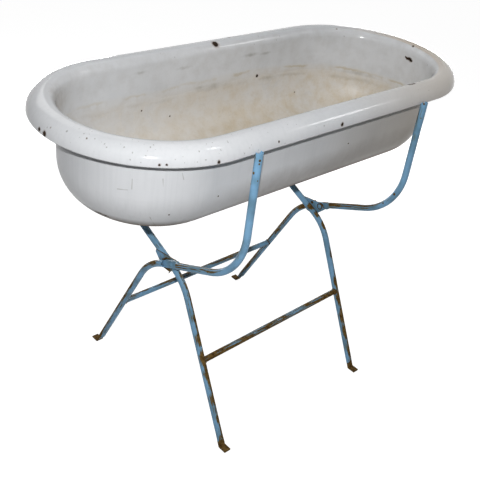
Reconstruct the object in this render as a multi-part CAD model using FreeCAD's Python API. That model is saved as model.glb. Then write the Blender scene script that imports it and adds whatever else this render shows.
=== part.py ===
import FreeCAD, Part
import math
import os
from FreeCAD import Vector

# Enamelled steel bathtub on a folding stand of bent steel tube, in millimetres.
# +X runs along the tub, -Y is the front, +Z is up; the origin is on the floor under the tub's middle.
# Section points are (y, z): y is the distance out from the tub's middle plane, z the height.

# Tub: a stadium in plan, pressed from sheet, with a convex rim and a wired edge
tub_width = 487.0
tub_straight = 628.0
tub_depth = 228.5
rim_rise = 35.6
flange_width = 54.5
rim_inner_radius = 23.0
floor_corner_radius = 98.0
wall_lean = math.radians(0.6)
sheet = 1.6
wire_diameter = 2.6
wire_clearance = 0.3
curl_turn = math.radians(250.0)

# Stand: two frames that cross, each of two bent tubes and one stretcher
stand_height = 779.2
frame_spacing = 500.0
tube_diameter = 16.0
tube_wall = 1.5
foot_reach = 244.0
knee_reach = 50.2
knee_height = 374.2
knee_radius = 160.0
elbow_height = 504.5
elbow_radius = 150.0
inner_knee_spread = 3.4
inner_knee_drop = 3.7
inner_elbow_drop = 4.0
inner_knee_radius = 125.0
rear_stretcher_height = 199.2
front_stretcher_left_height = 196.2
front_stretcher_right_height = 201.8
stretcher_diameter = 14.6
weld_gap = 0.05

# Tube ends: the foot is flattened and turned out, the top is notched for the tub's wired edge
tab_length = 21.0
tab_width = 18.0
tab_thickness = 4.0
flat_start = 30.0
flat_end = 9.0
seat_gap = 0.3
horn_clearance = 1.3
horn_height = 6.2
arm_offset = 7.0

# Pivots: the outer tubes are flattened to pads and riveted to plates on the inner tubes
pad_length = 56.0
pad_width = 18.0
pad_thickness = 7.5
plate_thickness = 3.0
plate_seat_depth = 1.0
plate_low_reach = 14.0
plate_low_drop = 31.3
plate_rear_reach = 41.0
plate_rear_drop = 4.1
plate_rear_rise = 1.4
plate_peak_behind = 3.0
plate_peak_rise = 9.0
plate_front_ahead = 15.5
plate_front_drop = 3.8
plate_front_rise = 0.7
rivet_reach = 27.0
rivet_diameter = 8.0
running_gap = 0.1
rivet_clearance = 0.05
head_diameter = 14.0
head_height = 3.5
tail_diameter = 12.0
tail_height = 3.5
washer_diameter = 17.0
washer_thickness = 1.5
spacer_thickness = 2.0
stop_reach = 3.5
stop_diameter = 5.0
stop_head_diameter = 8.0
stop_head_height = 1.5
wire_bit_diameter = 1.7

half_straight = tub_straight / 2
edge_y = tub_width / 2
tube_radius = tube_diameter / 2
bead_radius = wire_diameter / 2 + wire_clearance + sheet
bead_y = edge_y - bead_radius
bead_z = stand_height + seat_gap + bead_radius
rim_top = bead_z - bead_radius + rim_rise
tub_bottom = rim_top - tub_depth
arm_y = bead_y + arm_offset

# Across the stand, from the inner tube out: tube, welded plate, spacer washer, outer tube
pivot_stack = 2 * tube_radius - plate_seat_depth + plate_thickness + spacer_thickness + 2 * running_gap
inner_x = (frame_spacing - pivot_stack) / 2
outer_x = (frame_spacing + pivot_stack) / 2
plate_inner_x = inner_x + tube_radius - plate_seat_depth
plate_outer_x = plate_inner_x + plate_thickness
pad_inner_x = outer_x - tube_radius
pad_outer_x = pad_inner_x + pad_thickness

# Corners of the tubes' centre lines, each drawn as for the outer frame: foot behind, arm in front
foot = (foot_reach, tab_thickness / 2)
arm_top = (-arm_y, stand_height + horn_height)
outer_knee = (knee_reach, knee_height)
outer_elbow = (-arm_y, elbow_height)
inner_knee = (knee_reach + inner_knee_spread, knee_height - inner_knee_drop)
inner_elbow = (-arm_y, elbow_height - inner_elbow_drop)
outer_corners = ((outer_knee, knee_radius), (outer_elbow, elbow_radius))
inner_corners = ((inner_knee, inner_knee_radius), (inner_elbow, elbow_radius))


def unit(a, b):
    """Direction in the section plane from point a to point b."""
    length = math.hypot(b[0] - a[0], b[1] - a[1])
    return ((b[0] - a[0]) / length, (b[1] - a[1]) / length)


def along(a, direction, distance):
    return (a[0] + direction[0] * distance, a[1] + direction[1] * distance)


def polar(centre, radius, angle):
    return (centre[0] + radius * math.cos(angle), centre[1] + radius * math.sin(angle))


def at(point, x=0.0):
    """A section point as a point in space."""
    return Vector(x, point[0], point[1])


def line(a, b):
    return Part.makeLine(at(a), at(b))


def arc(centre, radius, start, end):
    """Arc in the section plane, from one angle to another, through their middle."""
    angles = (start, (start + end) / 2, end)
    return Part.Arc(*[at(polar(centre, radius, angle)) for angle in angles]).toShape()


def bend(corner, before, after, radius):
    """Centre of the arc that rounds a corner, and its two tangent points and end angles."""
    back = unit(corner, before)
    ahead = unit(corner, after)
    half = math.acos(back[0] * ahead[0] + back[1] * ahead[1]) / 2
    start = along(corner, back, radius / math.tan(half))
    end = along(corner, ahead, radius / math.tan(half))
    bisector = unit((0, 0), (back[0] + ahead[0], back[1] + ahead[1]))
    centre = along(corner, bisector, radius / math.sin(half))
    angles = [math.atan2(p[1] - centre[1], p[0] - centre[0]) for p in (start, end)]
    while angles[1] - angles[0] > math.pi:
        angles[1] -= 2 * math.pi
    while angles[1] - angles[0] < -math.pi:
        angles[1] += 2 * math.pi
    return centre, start, end, angles


def block(x_low, x_high, points):
    """Prism along X over a polygon in the section plane."""
    corners = [at(p, x_low) for p in points]
    face = Part.Face(Part.makePolygon(corners + corners[:1]))
    return face.extrude(Vector(x_high - x_low, 0, 0))


def bar(x_low, x_high, centre, radius):
    """Cylinder along X."""
    return Part.makeCylinder(radius, x_high - x_low, at(centre, x_low), Vector(1, 0, 0))


def on_side(shape, side):
    """The shape as built for the right end, or its mirror image for the left end."""
    return shape if side > 0 else shape.mirror(Vector(0, 0, 0), Vector(1, 0, 0))


def turned_to_front(shape):
    """An inner-frame piece: the outer-frame shape seen from the other side."""
    return shape.mirror(Vector(0, 0, 0), Vector(0, 1, 0))


def round_the_plan(section):
    """Carries a half section along both long sides and round both ends of the stadium."""
    right = section.translated(Vector(half_straight, 0, 0))
    left = section.translated(Vector(-half_straight, 0, 0))
    back = left.extrude(Vector(tub_straight, 0, 0))
    ends = [right.revolve(Vector(half_straight, 0, 0), Vector(0, 0, 1), -180),
            left.revolve(Vector(-half_straight, 0, 0), Vector(0, 0, 1), 180)]
    return back.fuse([turned_to_front(back)] + ends).removeSplitter()


def tub_section():
    """Closed half section of the sheet: floor, corner, wall, rim flange and the curl round the wire."""
    bead = (bead_y, bead_z)
    crest_y = edge_y - flange_width - sheet + rim_inner_radius
    rise = rim_top - bead_z
    reach = bead_y - crest_y
    flange_radius = (reach ** 2 + rise ** 2 - bead_radius ** 2) / (2 * (rise - bead_radius))
    flange = (crest_y, rim_top - flange_radius)
    rim = (crest_y, rim_top - rim_inner_radius)
    corner_radius = floor_corner_radius - sheet
    corner_z = tub_bottom + floor_corner_radius
    wall = rim[0] * math.cos(wall_lean) - rim[1] * math.sin(wall_lean) - rim_inner_radius
    corner = ((wall - corner_radius + corner_z * math.sin(wall_lean)) / math.cos(wall_lean), corner_z)

    down, up = -math.pi / 2, math.pi / 2
    wall_angle = math.pi - wall_lean
    bead_angle = math.atan2(bead[1] - flange[1], bead[0] - flange[0])
    curl_angle = bead_angle - curl_turn

    def face_edges(offset):
        """One face of the sheet, from the middle of the floor to the end of the curl."""
        inner = corner_radius + offset
        start = (0.0, corner_z - inner)
        foot_of_wall = polar(corner, inner, -wall_lean)
        head_of_wall = polar(rim, rim_inner_radius - offset, wall_angle)
        edges = [line(start, polar(corner, inner, down)),
                 arc(corner, inner, down, -wall_lean),
                 line(foot_of_wall, head_of_wall),
                 arc(rim, rim_inner_radius - offset, wall_angle, up),
                 arc(flange, flange_radius - offset, up, bead_angle),
                 arc(bead, bead_radius - offset, bead_angle, curl_angle)]
        return edges, start, polar(bead, bead_radius - offset, curl_angle)

    inside, inside_start, inside_end = face_edges(0.0)
    outside, outside_start, outside_end = face_edges(sheet)
    caps = [line(inside_end, outside_end), line(outside_start, inside_start)]
    ordered = inside + caps[:1] + outside[::-1] + caps[1:]
    return Part.Face(Part.Wire(Part.__sortEdges__(ordered)))


def rim_wire_section():
    ring = Part.makeCircle(wire_diameter / 2, at((bead_y, bead_z)), Vector(1, 0, 0))
    return Part.Face(Part.Wire(ring))


def leg_direction(corners):
    """Direction of a leg from its foot up to its knee."""
    return unit(foot, corners[0][0])


def centre_line(start, end, corners):
    """Centre line of a tube from a point on its leg to a point on its arm."""
    edges = []
    here = start
    following = [corner for corner, radius in corners[1:]] + [end]
    for (corner, radius), after in zip(corners, following):
        centre, first, last, angles = bend(corner, here, after, radius)
        edges += [line(here, first), arc(centre, radius, *angles)]
        here = last
    return Part.Wire(edges + [line(here, end)])


def round_bar(corners, radius):
    """Solid bar swept along a tube's centre line, from above its foot to its top."""
    direction = leg_direction(corners)
    start = along(foot, direction, flat_start)
    circle = Part.makeCircle(radius, at(start), at(direction))
    return centre_line(start, arm_top, corners).makePipeShell([Part.Wire(circle)], True, False)


def foot_end(corners):
    """Flattened foot: the tube narrows to a strip, which turns out level on the floor."""
    leg = leg_direction(corners)
    across = (-leg[1], leg[0])
    round_at = along(foot, leg, flat_start)
    flat_at = along(foot, leg, flat_end)
    half_width = tab_width / 2
    half = tab_thickness / 2
    diagonal = tube_radius / math.sqrt(2)

    def ring_point(side, lift, radius):
        return at(along(round_at, across, lift * radius), side * radius)

    quarters = [((1, 1), (0, 1), (-1, 1)), ((-1, 1), (-1, 0), (-1, -1)),
                ((-1, -1), (0, -1), (1, -1)), ((1, -1), (1, 0), (1, 1))]
    arcs = []
    for first, middle, last in quarters:
        ends = [ring_point(*first, diagonal), ring_point(*middle, tube_radius), ring_point(*last, diagonal)]
        arcs.append(Part.Arc(*ends).toShape())
    strip = [at(along(flat_at, across, lift * half), side * half_width)
             for side, lift in ((1, 1), (-1, 1), (-1, -1), (1, -1))]
    neck = Part.makeLoft([Part.Wire(arcs), Part.makePolygon(strip + strip[:1])], True, True)
    lower = block(-half_width, half_width,
                  [along(flat_at, across, half), along(foot, across, half),
                   along(foot, across, -half), along(flat_at, across, -half)])
    tab_end = foot_reach + tab_length
    tab = block(-half_width, half_width,
                [(foot_reach, 0.0), (tab_end, 0.0), (tab_end, tab_thickness), (foot_reach, tab_thickness)])
    heel = bar(-half_width, half_width, foot, half)
    return neck.fuse([lower, tab, heel])


def seat_cut():
    """Notch in an arm's top: a groove under the wired edge, open towards the tub."""
    reach = tube_diameter
    groove = bar(-reach, reach, (-bead_y, bead_z), bead_radius + seat_gap)
    horn_face = -edge_y - horn_clearance
    above = block(-reach, reach, [(horn_face, bead_z), (-bead_y + reach, bead_z),
                                  (-bead_y + reach, bead_z + reach), (horn_face, bead_z + reach)])
    beside = block(-reach, reach, [(-bead_y, stand_height), (-bead_y + reach, stand_height),
                                   (-bead_y + reach, bead_z), (-bead_y, bead_z)])
    return groove.fuse([above, beside])


def plain_tube(corners):
    """A tube at X = 0 as for the outer frame, hollow, with its foot and its notched top."""
    tube = round_bar(corners, tube_radius).fuse(foot_end(corners))
    return tube.cut(round_bar(corners, tube_radius - tube_wall)).cut(seat_cut())


def slope_point(reach):
    """Point of the outer tube's sloping run at a distance in front of the middle plane."""
    slope = unit(outer_knee, outer_elbow)
    return along(outer_knee, slope, (-reach - outer_knee[0]) / slope[0])


rivet = slope_point(rivet_reach)


def rivet_hole():
    return bar(0.0, frame_spacing, rivet, rivet_diameter / 2 + rivet_clearance)


def pad_outline(x_low, x_high):
    """Round-ended slot along the outer tube at the rivet, as a prism."""
    slope = unit(outer_knee, outer_elbow)
    across = (-slope[1], slope[0])
    half = pad_width / 2
    straight = pad_length / 2 - half
    ends = [along(rivet, slope, side * straight) for side in (-1, 1)]
    slot = block(x_low, x_high, [along(ends[0], across, half), along(ends[1], across, half),
                                 along(ends[1], across, -half), along(ends[0], across, -half)])
    return slot.fuse([bar(x_low, x_high, end, half) for end in ends]).removeSplitter()


def outer_tube():
    tube = plain_tube(outer_corners).translated(Vector(outer_x, 0, 0))
    pressed_away = pad_outline(pad_outer_x, outer_x + tube_diameter)
    pad = pad_outline(pad_inner_x, pad_outer_x)
    return tube.cut(pressed_away).fuse(pad).cut(rivet_hole()).removeSplitter()


def stop_centre():
    """Where the stop pin lies on top of the outer tube when the stand is fully open."""
    slope = unit(outer_knee, outer_elbow)
    return along(slope_point(stop_reach), (slope[1], -slope[0]), tube_radius + seat_gap + stop_diameter / 2)


plate_low = rivet[1] - plate_low_drop
plate_front = rivet[0] - plate_front_ahead
plate_peak = (rivet[0] + plate_peak_behind, rivet[1] + plate_peak_rise)


def plate_blank():
    """Pivot plate before its holes: broad at the top round the rivet, narrow below the crossing."""
    stop_z = stop_centre()[1]
    return block(plate_inner_x, plate_outer_x,
                 [(plate_rear_reach, stop_z + plate_rear_rise), (plate_rear_reach, stop_z - plate_rear_drop),
                  (plate_low_reach, plate_low), (-plate_low_reach, plate_low),
                  (plate_front, rivet[1] - plate_front_drop), (plate_front, rivet[1] + plate_front_rise),
                  plate_peak])


def inner_tube():
    tube = turned_to_front(plain_tube(inner_corners)).translated(Vector(inner_x, 0, 0))
    return tube.cut(plate_blank())


def stop_pin():
    """Pin through the plate, over the outer tube, with a flat head inside."""
    centre = stop_centre()
    head = bar(plate_inner_x - stop_head_height, plate_inner_x, centre, stop_head_diameter / 2)
    shank = bar(plate_inner_x, outer_x, centre, stop_diameter / 2)
    return shank.fuse(head).removeSplitter()


def pivot_plate():
    stop_hole = bar(0.0, frame_spacing, stop_centre(), stop_diameter / 2 + rivet_clearance)
    return plate_blank().cut([rivet_hole(), stop_hole])


def leg_point(corners, height):
    """Point of a leg's centre line at a height, as for the outer frame."""
    leg = leg_direction(corners)
    return along(foot, leg, (height - foot[1]) / leg[1])


def stretcher(corners, x_reach, left_height, right_height):
    """Cross tube of a frame as for the outer frame, its ends cut to sit on the two legs."""
    left = at(leg_point(corners, left_height), -x_reach)
    right = at(leg_point(corners, right_height), x_reach)
    run = right - left
    radius = stretcher_diameter / 2
    tube = Part.makeCylinder(radius, run.Length, left, run)
    bore = Part.makeCylinder(radius - tube_wall, run.Length, left, run)
    leg = round_bar(corners, tube_radius + weld_gap)
    return tube.cut([bore] + [leg.translated(Vector(side * x_reach, 0, 0)) for side in (-1, 1)])


def dome(tip, base, radius):
    """Edge of a rivet's dome from its tip on the axis to its rim."""
    sag = tip - base
    centre = tip - (radius ** 2 + sag ** 2) / (2 * sag)
    turn = math.asin(radius / abs(tip - centre)) / 2
    middle = Vector(centre + (tip - centre) * math.cos(turn), abs(tip - centre) * math.sin(turn), 0)
    return Part.Arc(Vector(tip, 0, 0), middle, Vector(base, radius, 0)).toShape()


washer_x = plate_inner_x - running_gap - washer_thickness


def pivot_rivet():
    """Rivet along X: domed head on the pad, shank, and the clenched tail on the washer."""
    shank = rivet_diameter / 2
    head_tip = pad_outer_x + head_height
    tail_tip = washer_x - tail_height
    corners = [Vector(pad_outer_x, head_diameter / 2, 0), Vector(pad_outer_x, shank, 0),
               Vector(washer_x, shank, 0), Vector(washer_x, tail_diameter / 2, 0)]
    edges = [dome(head_tip, pad_outer_x, head_diameter / 2)]
    edges += [Part.makeLine(a, b) for a, b in zip(corners, corners[1:])]
    edges += [dome(tail_tip, washer_x, tail_diameter / 2),
              Part.makeLine(Vector(tail_tip, 0, 0), Vector(head_tip, 0, 0))]
    face = Part.Face(Part.Wire(Part.__sortEdges__(edges)))
    return face.revolve(Vector(0, 0, 0), Vector(1, 0, 0), 360).translated(at(rivet))


def washer(x_low, thickness):
    return bar(x_low, x_low + thickness, rivet, washer_diameter / 2).cut(rivet_hole())


def wire_bit():
    """Bit of loose wire that hangs down the outside of the left plate, in the gap beside the tube."""
    x = plate_outer_x + running_gap + wire_bit_diameter / 2
    top = (plate_peak[0], rivet[1] - washer_diameter / 2 - wire_bit_diameter)
    kink = (-plate_low_reach - wire_bit_diameter, plate_low + wire_bit_diameter)
    tip = (-plate_low_reach + wire_bit_diameter, plate_low - 2 * wire_bit_diameter)
    path = Part.makePolygon([at(p, x) for p in (top, kink, tip)])
    circle = Part.makeCircle(wire_bit_diameter / 2, at(top, x), at(unit(top, kink)))
    return path.makePipeShell([Part.Wire(circle)], True, False, 1)


front_stretcher = stretcher(inner_corners, inner_x, front_stretcher_left_height, front_stretcher_right_height)
nodes = {
    "tub_shell": round_the_plan(tub_section()),
    "rim_wire": round_the_plan(rim_wire_section()),
    "rear_stretcher": stretcher(outer_corners, outer_x, rear_stretcher_height, rear_stretcher_height),
    "front_stretcher": turned_to_front(front_stretcher),
    "wire_bit": on_side(wire_bit(), -1),
}
pairs = {
    "outer_{}_tube": outer_tube(),
    "inner_{}_tube": inner_tube(),
    "{}_pivot_plate": pivot_plate(),
    "{}_stop_pin": stop_pin(),
    "{}_pivot_rivet": pivot_rivet(),
    "{}_spacer_washer": washer(plate_outer_x + running_gap, spacer_thickness),
    "{}_tail_washer": washer(washer_x, washer_thickness),
}
for name, shape in pairs.items():
    for side, word in ((-1, "left"), (1, "right")):
        nodes[name.format(word)] = on_side(shape, side)

os.makedirs("parts", exist_ok=True)
for name, shape in nodes.items():
    shape.exportStep("parts/" + name + ".step")
    box = shape.BoundBox
    print(name, "solids", len(shape.Solids), "valid", shape.isValid(), "volume", round(shape.Volume),
          "z", round(box.ZMin, 2), round(box.ZMax, 2))
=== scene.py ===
import math

import bmesh
import bpy
from mathutils import Matrix, Vector, noise


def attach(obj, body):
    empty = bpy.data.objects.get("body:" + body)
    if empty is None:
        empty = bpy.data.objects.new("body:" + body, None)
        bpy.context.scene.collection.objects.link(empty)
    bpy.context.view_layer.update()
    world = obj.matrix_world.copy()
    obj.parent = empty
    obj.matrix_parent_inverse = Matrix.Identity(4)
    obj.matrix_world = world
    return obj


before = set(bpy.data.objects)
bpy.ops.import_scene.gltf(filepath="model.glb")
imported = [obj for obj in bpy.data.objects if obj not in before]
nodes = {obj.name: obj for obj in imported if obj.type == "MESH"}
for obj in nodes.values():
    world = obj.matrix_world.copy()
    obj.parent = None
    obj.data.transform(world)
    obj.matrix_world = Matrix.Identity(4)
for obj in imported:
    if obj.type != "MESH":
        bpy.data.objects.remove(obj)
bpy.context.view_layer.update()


# ---------------------------------------------------------------------------------------------
# Tub shell: steel sheet pressed to a deep round-ended trough, its rim rolled over a wire, then
# dipped and fired with white vitreous enamel. The glaze is glossy and a little blue. Bath water
# has stained it below the water line, and knocks have chipped it down to rusty steel.

half_straight = 0.314
wall_reach = 0.196
water_line = 0.727
edge_shift = 0.006
mark_depth = 60

glaze_white = "#e6e8eb"
glaze_grey = "#d3d6d9"
glaze_stained = "#e1d8ca"
stain_tan = "#cdbea3"
warm_dust_and_shade = "#8f8574"
warm_right_tint = "#d8cab7"
tide_ochre = "#b8a269"
tide_grey = "#98907c"
grey_wear = "#8a887c"
corner_brown = "#8d7a62"
chip_dark = "#1c130c"
chip_brown = "#38250f"
chip_rust = "#7b5230"
speck_brown = "#5c5142"
grime_and_shade_brown = "#5c4318"


def srgb(code):
    """Linear colour from an sRGB hex value."""
    parts = [int(code[i:i + 2], 16) / 255 for i in (1, 3, 5)]
    return [c / 12.92 if c <= 0.04045 else ((c + 0.055) / 1.055) ** 2.4 for c in parts] + [1.0]


def add(tree, kind, inputs, **settings):
    """Adds a node, sets it, sets or links its inputs by name or number, and returns its first output in use."""
    node = tree.nodes.new("ShaderNode" + kind)
    for name, value in settings.items():
        setattr(node, name, value)
    for key, value in inputs.items():
        if isinstance(key, str):
            socket = next(s for s in node.inputs if s.enabled and s.name == key)
        else:
            socket = node.inputs[key]
        if isinstance(value, bpy.types.NodeSocket):
            tree.links.new(value, socket)
        else:
            socket.default_value = value
    return next(s for s in node.outputs if s.enabled)


enamel = bpy.data.materials.new("white_vitreous_enamel")
enamel.use_nodes = True
tree = enamel.node_tree
glaze = tree.nodes["Principled BSDF"]
coords = add(tree, "TexCoord", {}).node
place, facing = coords.outputs["Object"], coords.outputs["Normal"]
x, y, z = add(tree, "SeparateXYZ", {0: place}).node.outputs

# How far a point lies out from the trough's middle line, and whether its face looks into the trough
beside = add(tree, "Clamp", {"Value": x, "Min": -half_straight, "Max": half_straight})
outward = add(tree, "CombineXYZ", {"X": add(tree, "Math", {0: x, 1: beside}, operation="SUBTRACT"), "Y": y})
reach = add(tree, "VectorMath", {0: outward}, operation="LENGTH")
out_way = add(tree, "VectorMath", {0: outward}, operation="NORMALIZE")
faces_out = add(tree, "VectorMath", {0: facing, 1: out_way}, operation="DOT_PRODUCT")
faces_up = add(tree, "SeparateXYZ", {0: facing}).node.outputs["Z"]
looks_in = add(tree, "Math", {0: faces_up, 1: faces_out}, operation="SUBTRACT")
inside_turn = add(tree, "MapRange", {"Value": looks_in, "From Min": -0.1, "From Max": 0.1})
inside_reach = add(tree, "MapRange", {"Value": reach, "From Min": wall_reach + 0.004, "From Max": wall_reach})
inside = add(tree, "Math", {0: inside_turn, 1: inside_reach}, operation="MULTIPLY")
outside = add(tree, "Math", {0: 1.0, 1: inside}, operation="SUBTRACT")

# Patterns: 130 mm clouds, 70 mm breaks, 30 mm blotches, upright streaks, and places shifted at random so
# that the edges of chips and rubs come out ragged
clouds = add(tree, "TexNoise", {"Vector": place, "Scale": 1000 / 130, "Detail": 4.0, "Roughness": 0.6})
breaks = add(tree, "TexNoise", {"Vector": place, "Scale": 1000 / 70, "Detail": 3.0})
blotches = add(tree, "TexNoise", {"Vector": place, "Scale": 1000 / 30, "Detail": 5.0, "Roughness": 0.65})
upright = add(tree, "VectorMath", {0: place, 1: (1000 / 7, 1000 / 7, 1000 / 160)}, operation="MULTIPLY")
streaks = add(tree, "TexNoise", {"Vector": upright, "Scale": 1.0, "Detail": 3.0})
ragged = add(tree, "TexNoise", {"Vector": place, "Scale": 1000 / 9, "Detail": 3.0}).node.outputs["Color"]
shift = add(tree, "VectorMath", {0: ragged, 1: (0.5, 0.5, 0.5)}, operation="SUBTRACT")
torn = add(tree, "VectorMath", {0: shift, 1: (edge_shift,) * 3, 2: place}, operation="MULTIPLY_ADD")

# Clean glaze: faint clouds, upright wiping marks outside, a warm tinge on the near outside towards the right end, and
# an aged tone inside
tone = add(tree, "MapRange", {"Value": clouds, "From Min": 0.38, "From Max": 0.66, "To Max": 0.45})
colour = add(tree, "Mix", {"Factor": tone, "A": srgb(glaze_white), "B": srgb(glaze_grey)}, data_type="RGBA")
wiped = add(tree, "MapRange", {"Value": streaks, "From Min": 0.48, "From Max": 0.72, "To Max": 0.25})
wiped = add(tree, "Math", {0: wiped, 1: outside}, operation="MULTIPLY")
colour = add(tree, "Mix", {"Factor": wiped, "A": colour, "B": srgb(glaze_grey)}, data_type="RGBA")
warm_right = add(tree, "MapRange", {"Value": x, "From Min": 0.0, "From Max": 0.54, "To Max": 0.9})
near_side = add(tree, "MapRange", {"Value": y, "From Min": 0.18, "From Max": 0.0})
for part in (near_side, outside):
    warm_right = add(tree, "Math", {0: warm_right, 1: part}, operation="MULTIPLY")
colour = add(tree, "Mix", {"Factor": warm_right, "A": colour, "B": srgb(warm_right_tint)}, data_type="RGBA")
aged = add(tree, "Math", {0: inside, 1: 0.05}, operation="MULTIPLY")
colour = add(tree, "Mix", {"Factor": aged, "A": colour, "B": srgb(warm_dust_and_shade)}, data_type="RGBA")

# Grey-brown smudges inside, as a wiping cloth leaves them
smudge = add(tree, "MapRange", {"Value": blotches, "From Min": 0.42, "From Max": 0.72, "To Max": 0.15})
smudge = add(tree, "Math", {0: smudge, 1: inside}, operation="MULTIPLY")
colour = add(tree, "Mix", {"Factor": smudge, "A": colour, "B": srgb(warm_dust_and_shade)}, data_type="RGBA")

# Below the water line the glaze is dull beige, most to the right, with ochre lines where the water stood
drop = add(tree, "MapRange", {"Value": x, "From Min": 0.18, "From Max": 0.46, "To Max": 0.019})
above = add(tree, "Math", {0: z, 1: drop}, operation="ADD")
wavy = add(tree, "Math", {0: clouds, 1: 0.030, 2: above}, operation="MULTIPLY_ADD")
wavy = add(tree, "Math", {0: blotches, 1: 0.016, 2: wavy}, operation="MULTIPLY_ADD")
depth = add(tree, "Math", {0: wavy, 1: water_line + 0.023}, operation="SUBTRACT")
under = add(tree, "MapRange", {"Value": depth, "From Min": 0.010, "From Max": -0.024})
warm = add(tree, "MapRange", {"Value": x, "From Min": -0.42, "From Max": 0.10, "To Min": 0.36, "To Max": 0.9})
cloudy = add(tree, "MapRange", {"Value": clouds, "From Min": 0.34, "From Max": 0.62, "To Min": 0.5})
mottled = add(tree, "MapRange", {"Value": blotches, "From Min": 0.3, "From Max": 0.7, "To Min": 0.7})
stain = under
for part in (warm, cloudy, mottled, inside):
    stain = add(tree, "Math", {0: stain, 1: part}, operation="MULTIPLY")
colour = add(tree, "Mix", {"Factor": stain, "A": colour, "B": srgb(glaze_stained)}, data_type="RGBA")
tan = add(tree, "MapRange", {"Value": blotches, "From Min": 0.44, "From Max": 0.72, "To Max": 0.45})
tan_along = add(tree, "MapRange", {"Value": x, "From Min": 0.05, "From Max": 0.40, "To Min": 0.8, "To Max": 1.8})
deep = add(tree, "MapRange", {"Value": z, "From Min": 0.660, "From Max": 0.612, "To Max": 0.6})
tan = add(tree, "Math", {0: tan, 1: tan_along, 2: deep}, operation="MULTIPLY_ADD")
tan = add(tree, "Math", {0: tan, 1: stain}, operation="MULTIPLY")
colour = add(tree, "Mix", {"Factor": tan, "A": colour, "B": srgb(stain_tan)}, data_type="RGBA")
sand = add(tree, "TexNoise", {"Vector": place, "Scale": 1000 / 6, "Detail": 4.0, "Roughness": 0.7})
sandy = add(tree, "MapRange", {"Value": sand, "From Min": 0.50, "From Max": 0.75, "To Max": 0.22})
sandy = add(tree, "Math", {0: sandy, 1: stain}, operation="MULTIPLY")
colour = add(tree, "Mix", {"Factor": sandy, "A": colour, "B": srgb(tide_grey)}, data_type="RGBA")
broken = add(tree, "MapRange", {"Value": breaks, "From Min": 0.46, "From Max": 0.60, "To Min": 0.05})
faint = add(tree, "MapRange", {"Value": x, "From Min": -0.35, "From Max": 0.0, "To Min": 0.35})
for part in (inside, faint):
    broken = add(tree, "Math", {0: broken, 1: part}, operation="MULTIPLY")
for below, half_width, strength, shade in ((0.0, 0.0044, 0.42, tide_ochre), (0.024, 0.0070, 0.22, tide_grey)):
    away = add(tree, "Math", {0: depth, 1: below}, operation="ADD")
    away = add(tree, "Math", {0: away}, operation="ABSOLUTE")
    tide = add(tree, "MapRange", {"Value": away, "From Min": half_width, "From Max": 0.0005, "To Max": strength})
    tide = add(tree, "Math", {0: tide, 1: broken}, operation="MULTIPLY")
    colour = add(tree, "Mix", {"Factor": tide, "A": colour, "B": srgb(shade)}, data_type="RGBA")

# Grey rubbed marks inside, each (x, y, z, half length, half height, strength), the first five in millimetres.
# The last is a brown-grey patch in the left inner corner, where the rim turns down into the wall, partly dirt and
# partly painted shade.
rubs_and_corner_shade = (
    (128, 187, 772, 30, 5, 0.50), (185, 187, 769, 22, 4, 0.40), (-208, 187, 779, 22, 4, 0.35),
    (-83, 187, 771, 26, 4, 0.35), (10, 187, 709, 55, 8, 0.40), (-28, 187, 713, 16, 6, 0.35),
    (-150, 187, 700, 40, 6, 0.25), (200, 187, 700, 50, 8, 0.25), (470, 100, 700, 40, 6, 0.30),
    (-466, 116, 772, 62, 42, 0.55),
)
rubbed_and_corner_shade = 0.0
for rub in rubs_and_corner_shade:
    gap = add(tree, "VectorMath", {0: torn, 1: [c / 1000 for c in rub[:3]]}, operation="SUBTRACT")
    gap = add(tree, "VectorMath", {0: gap, 1: (1000 / rub[3], 1000 / mark_depth, 1000 / rub[4])}, operation="MULTIPLY")
    gap = add(tree, "VectorMath", {0: gap}, operation="LENGTH")
    mark = add(tree, "MapRange", {"Value": gap, "From Min": 1.2, "From Max": 0.1, "To Max": rub[5]})
    rubbed_and_corner_shade = add(tree, "Math", {0: rubbed_and_corner_shade, 1: mark}, operation="MAXIMUM")
mark_cloud = add(tree, "MapRange", {"Value": blotches, "From Min": 0.35, "From Max": 0.6, "To Min": 0.3})
rubbed_and_corner_shade = add(tree, "Math", {0: rubbed_and_corner_shade, 1: mark_cloud}, operation="MULTIPLY")
# Towards the left end the marks take the corner's brown-grey, partly painted shade in that corner.
corner_side = add(tree, "MapRange", {"Value": x, "From Min": -0.40, "From Max": -0.34})
rub_and_corner_colour = add(tree, "Mix", {"Factor": corner_side, "A": srgb(corner_brown), "B": srgb(grey_wear)}, data_type="RGBA")
colour = add(tree, "Mix", {"Factor": rubbed_and_corner_shade, "A": colour, "B": rub_and_corner_colour}, data_type="RGBA")

# Fine scratches on the outside of the left end, from point to point in millimetres
scratches = (
    ((-453, -126, 726), (-453, -126, 705)), ((-411, -161, 731), (-409, -161, 714)),
    ((-422, -144, 645), (-401, -135, 616)), ((-470, -105, 700), (-458, -120, 702)),
    ((-380, -177, 742), (-376, -178, 728)),
)
scratch = 1.0
for start, end in scratches:
    start, end = Vector(start) / 1000, Vector(end) / 1000
    run = end - start
    gap = add(tree, "VectorMath", {0: place, 1: start}, operation="SUBTRACT")
    share = add(tree, "VectorMath", {0: gap, 1: run / run.length_squared}, operation="DOT_PRODUCT")
    share = add(tree, "Clamp", {"Value": share})
    foot = add(tree, "VectorMath", {0: run, "Scale": share}, operation="SCALE")
    away = add(tree, "VectorMath", {0: gap, 1: foot}, operation="DISTANCE")
    scratch = add(tree, "Math", {0: scratch, 1: away}, operation="MINIMUM")
scratch = add(tree, "MapRange", {"Value": scratch, "From Min": 0.0012, "From Max": 0.0004, "To Max": 0.5})
colour = add(tree, "Mix", {"Factor": scratch, "A": colour, "B": srgb(grey_wear)}, data_type="RGBA")
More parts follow.
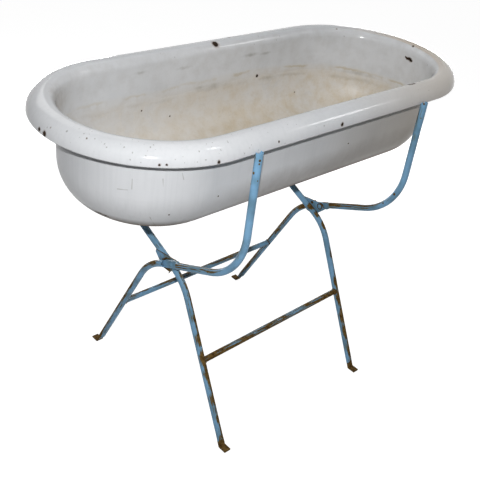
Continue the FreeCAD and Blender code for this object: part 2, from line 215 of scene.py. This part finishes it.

# A warm darkening on the outside, more to the right and downwards, partly a dust film and partly painted shade where
# the light falls off, and a brown darkening of the lower body and the bottom edge all round, partly grime and partly
# painted shade where the underside turns from the light
below_rim = add(tree, "MapRange", {"Value": z, "From Min": 0.788, "From Max": 0.772})
body_side = add(tree, "Math", {0: outside, 1: below_rim}, operation="MULTIPLY")
# Partly painted shade: the outside darkens towards the right end and downwards as the light falls off.
film_shade_along = add(tree, "MapRange", {"Value": x, "From Min": -0.15, "From Max": 0.42, "To Max": 0.66})
film_shade_down = add(tree, "MapRange", {"Value": z, "From Min": 0.76, "From Max": 0.62, "To Min": 0.45})
film = film_shade_along
for part in (film_shade_down, body_side):
    film = add(tree, "Math", {0: film, 1: part}, operation="MULTIPLY")
colour = add(tree, "Mix", {"Factor": film, "A": colour, "B": srgb(warm_dust_and_shade)}, data_type="RGBA")
# Brown darkening of the lower body and, strongest, of the bottom edge: partly grime and partly painted shade where
# the body turns under, away from the light.
low = add(tree, "Math", {0: blotches, 1: 0.03, 2: z}, operation="MULTIPLY_ADD")
low_grime_and_shade = add(tree, "MapRange", {"Value": low, "From Min": 0.710, "From Max": 0.605})
grime_shade_along = add(tree, "MapRange", {"Value": x, "From Min": -0.40, "From Max": -0.14, "To Min": 0.1})
low_grime_and_shade = add(tree, "Math", {0: low_grime_and_shade, 1: grime_shade_along}, operation="MULTIPLY")
bottom = add(tree, "MapRange", {"Value": z, "From Min": 0.634, "From Max": 0.606, "To Max": 0.9})
low_grime_and_shade = add(tree, "Math", {0: low_grime_and_shade, 1: bottom}, operation="MAXIMUM")
low_grime_and_shade = add(tree, "Math", {0: low_grime_and_shade, 1: outside}, operation="MULTIPLY")
colour = add(tree, "Mix", {"Factor": low_grime_and_shade, "A": colour, "B": srgb(grime_and_shade_brown)}, data_type="RGBA")

# Pepper of small specks, thickest on the front left of the rim
front_left = add(tree, "MapRange", {"Value": x, "From Min": -0.10, "From Max": -0.36})
front_side = add(tree, "MapRange", {"Value": y, "From Min": 0.02, "From Max": -0.10})
on_rim = add(tree, "MapRange", {"Value": z, "From Min": 0.780, "From Max": 0.790})
crowd = front_left
for part in (front_side, on_rim):
    crowd = add(tree, "Math", {0: crowd, 1: part}, operation="MULTIPLY")
fewest = add(tree, "Math", {0: crowd, 1: -0.55, 2: 0.94}, operation="MULTIPLY_ADD")
grains = add(tree, "TexVoronoi", {"Vector": torn, "Scale": 1000 / 7})
dice = add(tree, "SeparateColor", {0: grains.node.outputs["Color"]})
grain_size = add(tree, "MapRange", {"Value": dice, "From Min": fewest, "To Min": 0.0001, "To Max": 0.26})
speck = add(tree, "Math", {0: grains, 1: grain_size}, operation="DIVIDE")
speck = add(tree, "MapRange", {"Value": speck, "From Min": 1.3, "From Max": 0.4, "To Max": 0.5})
speck = add(tree, "Math", {0: speck, 1: on_rim}, operation="MULTIPLY")
colour = add(tree, "Mix", {"Factor": speck, "A": colour, "B": srgb(speck_brown)}, data_type="RGBA")

# The knocks that show most, each (x, y, z, radius) in millimetres. The six at x 500 run together to one chip
# on the right inside wall, and the last seven to a streak along the lower left edge.
knocks = (
    (17, 198, 811, 8.0), (76, 215, 814, 3.0), (500, -18, 781, 2.6), (500, -22, 780, 3.4),
    (499, -27, 780, 3.6), (499, -31, 780, 4.6), (498, -36, 779, 4.8), (497, -40, 778, 3.0),
    (247, -205, 815, 3.8), (255, -206, 815, 4.4), (264, -207, 815, 3.4), (58, -203, 813, 3.0),
    (162, 186, 712, 4.0), (309, 178, 646, 1.8), (-118, 183, 660, 1.8), (-200, 186, 687, 1.8),
    (-22, -242, 789, 4.0), (-353, -240, 786, 3.2), (-452, -199, 787, 2.4), (-442, -206, 787, 1.8),
    (-555, 16, 787, 4.0), (-556, -3, 787, 5.0), (421, 163, 813, 3.0), (509, -25, 813, 3.5),
    (-550, -14, 800, 2.0), (-526, -91, 806, 2.0), (-205, -242, 791, 2.0), (-293, -187, 674, 1.6),
    (-392, -164, 651, 1.6), (89, -188, 698, 1.8), (-474, -44, 622, 2.4), (-472.5, -49, 621.5, 3.2),
    (-471, -54, 621, 3.8), (-469, -59.5, 620.5, 3.2), (-467, -65, 620, 3.8), (-464.5, -70, 619.5, 3.2),
    (-462, -75, 619, 2.4),
)
nearest = 10.0
for knock in knocks:
    centre = [c / 1000 for c in knock[:3]]
    away = add(tree, "VectorMath", {0: torn, 1: centre}, operation="DISTANCE")
    share = add(tree, "Math", {0: away, 1: knock[3] / 1000}, operation="DIVIDE")
    nearest = add(tree, "Math", {0: nearest, 1: share}, operation="MINIMUM")
bare = add(tree, "MapRange", {"Value": nearest, "From Min": 1.05, "From Max": 0.85})
halo = add(tree, "MapRange", {"Value": nearest, "From Min": 1.6, "From Max": 1.0, "To Max": 0.45})
colour = add(tree, "Mix", {"Factor": halo, "A": colour, "B": srgb(chip_rust)}, data_type="RGBA")
bare_tone = add(tree, "MapRange", {"Value": blotches, "From Min": 0.4, "From Max": 0.7})
bare_colour = add(tree, "Mix", {"Factor": bare_tone, "A": srgb(chip_dark), "B": srgb(chip_brown)}, data_type="RGBA")
colour = add(tree, "Mix", {"Factor": bare, "A": colour, "B": bare_colour}, data_type="RGBA")

# Gloss: sharp on the clean glaze, duller where it is stained, on the outside and at the bottom, none on chips
dull = add(tree, "MapRange", {"Value": stain, "To Min": 0.12, "To Max": 0.50})
dull = add(tree, "Math", {0: body_side, 1: 0.23, 2: dull}, operation="MULTIPLY_ADD")
dull = add(tree, "Math", {0: bottom, 1: 0.5, 2: dull}, operation="MULTIPLY_ADD")
rough = add(tree, "Math", {0: bare, 1: 0.8, 2: dull}, operation="MULTIPLY_ADD")
height = add(tree, "Math", {0: breaks, 1: bare}, operation="SUBTRACT")
bump = add(tree, "Bump", {"Height": height, "Strength": 0.35, "Distance": 0.0008})
tree.links.new(colour, glaze.inputs["Base Color"])
tree.links.new(rough, glaze.inputs["Roughness"])
tree.links.new(bump, glaze.inputs["Normal"])
glaze.inputs["Specular IOR Level"].default_value = 0.30
nodes["tub_shell"].data.materials[0] = enamel


# ---------------------------------------------------------------------------------------------
# Rim wire: plain drawn steel wire that the sheet's edge is rolled over. It only shows in the gap of
# the roll, where it has rusted brown. The pins and washers of the pivots are the same bare steel.

rust_dark = "#2c2110"
rust_brown = "#5e4a26"

steel = bpy.data.materials.new("rusted_bare_steel")
steel.use_nodes = True
tree = steel.node_tree
skin = tree.nodes["Principled BSDF"]
place = add(tree, "TexCoord", {}).node.outputs["Object"]
scale_rust = add(tree, "TexNoise", {"Vector": place, "Scale": 1000 / 7, "Detail": 6.0, "Roughness": 0.7})
grain = add(tree, "TexNoise", {"Vector": place, "Scale": 1000 / 1.5, "Detail": 3.0})
tone = add(tree, "MapRange", {"Value": scale_rust, "From Min": 0.35, "From Max": 0.65})
colour = add(tree, "Mix", {"Factor": tone, "A": srgb(rust_dark), "B": srgb(rust_brown)}, data_type="RGBA")
bump = add(tree, "Bump", {"Height": grain, "Strength": 0.5, "Distance": 0.0004})
tree.links.new(colour, skin.inputs["Base Color"])
tree.links.new(bump, skin.inputs["Normal"])
skin.inputs["Roughness"].default_value = 0.8
for name in ("rim_wire", "wire_bit", "left_stop_pin", "right_stop_pin", "left_tail_washer", "right_tail_washer",
             "left_spacer_washer", "right_spacer_washer"):
    nodes[name].data.materials[0] = steel


# ---------------------------------------------------------------------------------------------
# Stand tubes: 16 mm steel tube bent cold, flattened at the feet, notched at the top for the tub.
# They are brushed with light blue oil paint, which has flaked in strips along the tube and rusted,
# most near the floor, where the feet are bare.

paint_blue = "#8abbe0"
paint_dull = "#7199b3"
paint_olive = "#757a60"
rust_deep = "#4b3413"
rust_warm = "#84693a"
flake_length = 0.045
flake_turns = 2.6

# Places of more wear, each (x, y, z, spread) in millimetres and a strength, below zero where paint holds better
worn_pivots = ((-259, -12, 404, 46, -0.30), (259, -12, 404, 46, -0.30), (255, 42, 380, 24, 0.24))
bare_legs = (
    (-252, 66, 426, 16, 0.22), (-250, 40, 416, 14, 0.20), (-242, -62, 363, 10, 0.10), (-238, -95, 292, 14, 0.16),
    (-236, -126, 248, 20, 0.22), (-236, -147, 207, 26, 0.26), (-238, -164, 172, 20, 0.20),
    (-240, -194, 114, 18, 0.20), (-240, -218, 68, 12, 0.12),
    (236, -4, 400, 14, 0.30), (236, -29, 387, 12, 0.26), (240, -57, 368, 14, 0.26), (246, -95, 292, 18, 0.16),
    (246, -137, 228, 26, 0.24), (246, -158, 186, 26, 0.24), (246, -180, 142, 26, 0.24),
    (246, -202, 98, 26, 0.22), (246, -224, 56, 24, 0.20),
)
# Single knocks on the arms, each (x, y, z, radius) in millimetres
paint_knocks = (
    (-264, -255, 772, 3.2), (-268, -247, 745, 3.4), (-262, -255, 730, 2.0), (-267, -243, 720, 2.2),
    (-264, -255, 765, 2.6), (252, -235, 545, 4.0), (253, -211, 508, 3.0), (-268, -156, 468, 3.5),
    (254, -252, 750, 2.0), (253, -251, 784, 3.0),
)
knock_ragged = 0.003


def worn_paint(name, bare_high, bare_low, worn_and_shaded_side, fade=(0.40, 0.52), bare_ends=0.0, bare_places=()):
    """Blue paint over rust. It flakes where the pattern is over a level that goes from bare_low up to bare_high
    between the two heights in fade, and more on faces that look to worn_and_shaded_side, a side of wear that on the
    inner tubes is partly painted shade."""
    material = bpy.data.materials.new(name)
    material.use_nodes = True
    tree = material.node_tree
    skin = tree.nodes["Principled BSDF"]
    coords = add(tree, "TexCoord", {}).node
    place, facing = coords.outputs["Object"], coords.outputs["Normal"]
    x, y, z = add(tree, "SeparateXYZ", {0: place}).node.outputs

    # Strips along the tube: the pattern runs on with the length, and turns with the normal round the tube
    long = add(tree, "VectorMath", {0: place, 1: (1 / flake_length,) * 3}, operation="MULTIPLY")
    spot = add(tree, "VectorMath", {0: facing, 1: (flake_turns,) * 3, 2: long}, operation="MULTIPLY_ADD")
    flake = add(tree, "TexNoise", {"Vector": spot, "Scale": 1.0, "Detail": 6.0, "Roughness": 0.6})
    patches = add(tree, "TexNoise", {"Vector": place, "Scale": 1000 / 110, "Detail": 2.0})
    flake = add(tree, "Math", {0: patches, 1: 0.35, 2: flake}, operation="MULTIPLY_ADD")
    toward = add(tree, "VectorMath", {0: facing, 1: worn_and_shaded_side}, operation="DOT_PRODUCT")
    flake = add(tree, "Math", {0: flake, 1: toward}, operation="ADD")
    level = add(tree, "MapRange", {"Value": z, "From Min": fade[0], "From Max": fade[1],
                                   "To Min": bare_low, "To Max": bare_high})
    excess = add(tree, "Math", {0: flake, 1: level}, operation="SUBTRACT")
    foot = add(tree, "MapRange", {"Value": z, "From Min": 0.019, "From Max": 0.009, "To Max": 0.5})
    excess = add(tree, "Math", {0: excess, 1: foot}, operation="ADD")
    from_middle = add(tree, "Math", {0: x}, operation="ABSOLUTE")
    end = add(tree, "MapRange", {"Value": from_middle, "From Min": 0.08, "From Max": 0.20, "To Max": bare_ends})
    excess = add(tree, "Math", {0: excess, 1: end}, operation="ADD")
    for *centre, spread, share in bare_places:
        away = add(tree, "VectorMath", {0: place, 1: [c / 1000 for c in centre]}, operation="DISTANCE")
        more = add(tree, "MapRange", {"Value": away, "From Min": spread / 1000, "From Max": 0.006, "To Max": share})
        excess = add(tree, "Math", {0: excess, 1: more}, operation="ADD")

    ragged = add(tree, "TexNoise", {"Vector": place, "Scale": 1000 / 4, "Detail": 3.0})
    for *centre, radius in paint_knocks:
        away = add(tree, "VectorMath", {0: place, 1: [c / 1000 for c in centre]}, operation="DISTANCE")
        away = add(tree, "Math", {0: ragged, 1: knock_ragged, 2: away}, operation="MULTIPLY_ADD")
        more = add(tree, "MapRange", {"Value": away, "From Min": radius / 1000 + knock_ragged,
                                      "From Max": radius / 1000, "To Min": -0.3, "To Max": 0.1})
        excess = add(tree, "Math", {0: excess, 1: more}, operation="MAXIMUM")
    rust = add(tree, "MapRange", {"Value": excess, "From Min": 0.0, "From Max": 0.018})
    edge = add(tree, "MapRange", {"Value": excess, "From Min": -0.08, "From Max": 0.0, "To Max": 0.85})

    mottle = add(tree, "TexNoise", {"Vector": place, "Scale": 1000 / 45, "Detail": 5.0})
    mottle = add(tree, "MapRange", {"Value": mottle, "From Min": 0.42, "From Max": 0.66})
    colour = add(tree, "Mix", {"Factor": mottle, "A": srgb(paint_blue), "B": srgb(paint_dull)}, data_type="RGBA")
    colour = add(tree, "Mix", {"Factor": edge, "A": colour, "B": srgb(paint_olive)}, data_type="RGBA")
    scale_rust = add(tree, "TexNoise", {"Vector": place, "Scale": 1000 / 9, "Detail": 6.0, "Roughness": 0.7})
    tone = add(tree, "MapRange", {"Value": scale_rust, "From Min": 0.38, "From Max": 0.62})
    bare = add(tree, "Mix", {"Factor": tone, "A": srgb(rust_deep), "B": srgb(rust_warm)}, data_type="RGBA")
    colour = add(tree, "Mix", {"Factor": rust, "A": colour, "B": bare}, data_type="RGBA")
    rough = add(tree, "MapRange", {"Value": rust, "To Min": 0.40, "To Max": 0.85})
    film = add(tree, "Math", {0: rust, 1: -1.0, 2: 1.0}, operation="MULTIPLY_ADD")
    bump = add(tree, "Bump", {"Height": film, "Strength": 0.7, "Distance": 0.0005})
    tree.links.new(colour, skin.inputs["Base Color"])
    tree.links.new(rough, skin.inputs["Roughness"])
    tree.links.new(bump, skin.inputs["Normal"])
    skin.inputs["Specular IOR Level"].default_value = 0.14
    return material


outer_paint = worn_paint("blue_oil_paint_on_outer_tubes", 0.93, 0.765, (-0.11, 0.12, 0.10), bare_places=worn_pivots)
# On the inner tubes the rust leans to the faces towards +x, away from the main lamp: partly real rust and partly
# painted shade on the shaded side.
inner_paint = worn_paint("blue_oil_paint_on_inner_tubes", 0.84, 0.75, (0.15, -0.10, 0.02), fade=(0.24, 0.36),
                         bare_places=bare_legs)
for name in ("outer_left_tube", "outer_right_tube"):
    nodes[name].data.materials[0] = outer_paint
for name in ("inner_left_tube", "inner_right_tube"):
    nodes[name].data.materials[0] = inner_paint


# ---------------------------------------------------------------------------------------------
# Stretchers: straight tubes welded between the two legs of each frame. Feet knock against the front
# one, so its paint has gone over most of its length, most on the underside.

front_paint = worn_paint("blue_oil_paint_scuffed", 0.62, 0.62, (0.0, -0.02, -0.08), bare_ends=0.12)
rear_paint = worn_paint("blue_oil_paint_on_stretcher", 0.765, 0.765, (0.0, 0.02, 0.12))
nodes["front_stretcher"].data.materials[0] = front_paint
nodes["rear_stretcher"].data.materials[0] = rear_paint


# ---------------------------------------------------------------------------------------------
# Stretcher welds: a rough run of weld metal round each end of both stretchers, where they meet the
# legs. Each run follows the line in which the two tubes meet, and has rusted through the paint.

leg_radius = 0.00805
stretcher_radius = 0.0073
weld_size = 0.0019
weld_uneven = 0.4
weld_ripple = 0.0025
leg_lean = (-0.459, 0.888)
# Each end: piece, body, the point where the axes of stretcher and leg cross, and which way the leg leans
weld_ends = (
    ("front_left_weld", "inner_frame", -0.2399, -0.14363, 0.19629, 1),
    ("front_right_weld", "inner_frame", 0.2399, -0.14079, 0.20172, 1),
    ("rear_left_weld", "outer_frame", -0.2601, 0.14132, 0.19920, -1),
    ("rear_right_weld", "outer_frame", 0.2601, 0.14132, 0.19920, -1),
)
weld_steps, weld_sides = 48, 8

for name, body, leg_x, leg_y, leg_z, lean_side in weld_ends:
    axis_point = Vector((leg_x, leg_y, leg_z))
    across = Vector((0.0, leg_lean[1], leg_lean[0] * lean_side))
    shape = bmesh.new()
    start = Matrix.Translation(axis_point + Vector((0.0, stretcher_radius, 0.0)))
    circle = bmesh.ops.create_circle(shape, segments=weld_sides, radius=weld_size, matrix=start)
    bmesh.ops.spin(shape, geom=circle["verts"] + shape.edges[:], cent=axis_point, axis=(1.0, 0.0, 0.0),
                   angle=2 * math.pi, steps=weld_steps, use_merge=True)
    for vert in shape.verts:
        ring = Vector((0.0, vert.co.y - leg_y, vert.co.z - leg_z))
        line = ring.normalized() * stretcher_radius
        bead = 1.0 + weld_uneven * noise.noise((axis_point + line) / weld_ripple)
        off = line.dot(across)
        leg_face = leg_x - math.copysign(math.sqrt(leg_radius ** 2 - off ** 2), leg_x)
        vert.co = Vector((leg_face + (vert.co.x - leg_x) * bead, leg_y, leg_z)) + line + (ring - line) * bead
    bmesh.ops.recalc_face_normals(shape, faces=shape.faces)
    for face in shape.faces:
        face.smooth = True
    weld_mesh = bpy.data.meshes.new(name)
    shape.to_mesh(weld_mesh)
    shape.free()
    weld = bpy.data.objects.new(name, weld_mesh)
    bpy.context.scene.collection.objects.link(weld)
    weld_mesh.materials.append(steel)
    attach(weld, body)


# ---------------------------------------------------------------------------------------------
# Pivots: steel plates welded to the inner tubes and riveted through the outer tubes, brushed over
# with the same blue paint. It is more worn on the left plate than on the right.

for side, plate_bare in (("left", 0.585), ("right", 0.72)):
    plate_paint = worn_paint(f"blue_oil_paint_on_{side}_plate", plate_bare, plate_bare, (0.14, 0.04, 0.07))
    nodes[f"{side}_pivot_plate"].data.materials[0] = plate_paint
for name in ("left_pivot_rivet", "right_pivot_rivet"):
    nodes[name].data.materials[0] = outer_paint


# ---------------------------------------------------------------------------------------------
# Studio: a pale floor that stays white to the camera but keeps the object's shadow, and a white
# surrounding. The main lamp is small and just above the camera, so its shadows are short and dark.
# Soft lamps fill from the left, overhead and behind, two stand low for the back and the right end,
# and the window and ceiling lamps draw the rim's gloss lines.

floor_half = 8.0
floor_grey = (0.40, 0.40, 0.40, 1.0)
floor_grey_seen = (0.35, 0.35, 0.35, 1.0)
pure_white = (1.0, 1.0, 1.0, 1.0)
floor_glow = 0.965
ambient = 0.02


def seen_rays(tree):
    """1 for rays that show a surface to the camera, straight or by gloss or glass, and 0 for those that light it."""
    rays = add(tree, "LightPath", {}).node.outputs
    seen = add(tree, "Math", {0: rays["Is Camera Ray"], 1: rays["Is Glossy Ray"]}, operation="MAXIMUM")
    return add(tree, "Math", {0: seen, 1: rays["Is Transmission Ray"]}, operation="MAXIMUM")


floor_mesh = bpy.data.meshes.new("studio_floor")
shape = bmesh.new()
bmesh.ops.create_grid(shape, x_segments=1, y_segments=1, size=floor_half)
shape.to_mesh(floor_mesh)
shape.free()
floor = bpy.data.objects.new("studio_floor", floor_mesh)
bpy.context.scene.collection.objects.link(floor)
floor_paint = bpy.data.materials.new("matt_white_floor")
floor_paint.use_nodes = True
tree = floor_paint.node_tree
lit = add(tree, "BsdfDiffuse", {"Color": floor_grey})
lit_seen = add(tree, "BsdfDiffuse", {"Color": floor_grey_seen})
glow = add(tree, "Emission", {"Color": pure_white, "Strength": floor_glow})
white = add(tree, "AddShader", {0: lit_seen, 1: glow})
mixed = add(tree, "MixShader", {0: seen_rays(tree), 1: lit, 2: white})
tree.links.new(mixed, tree.nodes["Material Output"].inputs["Surface"])
floor_mesh.materials.append(floor_paint)

world = bpy.data.worlds.new("white_studio")
world.use_nodes = True
bpy.context.scene.world = world
tree = world.node_tree
level = add(tree, "MapRange", {"Value": seen_rays(tree), "To Min": ambient})
tree.links.new(level, tree.nodes["Background"].inputs["Strength"])
tree.nodes["Background"].inputs["Color"].default_value = pure_white

# Each lamp: name, place, what it points at, edge length in metres, watts
for name, spot, aim, size, power in (
        ("camera_lamp", (-1.156, -1.050, 1.452), (0.0, 0.0, 0.65), 0.03, 16.8),
        ("left_lamp", (-1.663, -0.419, 1.876), (0.05, 0.0, 0.70), 0.70, 1.2),
        ("overhead_lamp", (0.30, 0.05, 1.95), (0.25, 0.0, 0.70), 0.90, 2.2),
        ("window_lamp", (2.18, -1.47, 2.32), (0.05, 0.0, 0.80), 0.40, 4.8),
        ("ceiling_lamp", (0.44, -0.90, 2.29), (-0.35, -0.23, 0.80), 0.25, 2.4),
        ("rear_lamp", (0.10, 1.60, 2.00), (0.05, 0.0, 0.60), 1.20, 6.5),
        ("low_rear_lamp", (0.50, 2.00, 0.42), (-0.15, 0.10, 0.55), 0.70, 15.0),
        ("low_right_lamp", (1.90, 0.90, 0.45), (0.25, 0.0, 0.58), 0.70, 11.0)):
    lamp_data = bpy.data.lights.new(name, "AREA")
    lamp_data.size = size
    lamp_data.energy = power
    lamp = bpy.data.objects.new(name, lamp_data)
    turn = (Vector(spot) - Vector(aim)).to_track_quat("Z", "Y")
    lamp.matrix_world = Matrix.Translation(spot) @ turn.to_matrix().to_4x4()
    bpy.context.scene.collection.objects.link(lamp)


# ---------------------------------------------------------------------------------------------
# Camera: the photograph's own view, from the front left and above, tilted a little. Its focal length
# is known in pixels of the square picture.

azimuth, elevation, roll = math.radians(-46.90), math.radians(31.93), math.radians(7.93)
aim = Vector((-0.01531, 0.0, 0.37631))
distance = 1.88417
picture_pixels = 480
focal_pixels = 753.16
sensor_mm = 36.0
back = Vector((math.sin(azimuth) * math.cos(elevation), -math.cos(azimuth) * math.cos(elevation),
               math.sin(elevation)))
right = back.cross(Vector((0, 0, -1))).normalized()
up = back.cross(right)
turned = Matrix((right, up, back)).transposed() @ Matrix.Rotation(roll, 3, "Z")
camera_data = bpy.data.cameras.new("camera")
camera_data.sensor_width = sensor_mm
camera_data.lens = focal_pixels / picture_pixels * sensor_mm
camera = bpy.data.objects.new("camera", camera_data)
camera.matrix_world = Matrix.Translation(aim + back * distance) @ turned.to_4x4()
bpy.context.scene.collection.objects.link(camera)
bpy.context.scene.camera = camera
bpy.context.scene.view_settings.view_transform = "Standard"
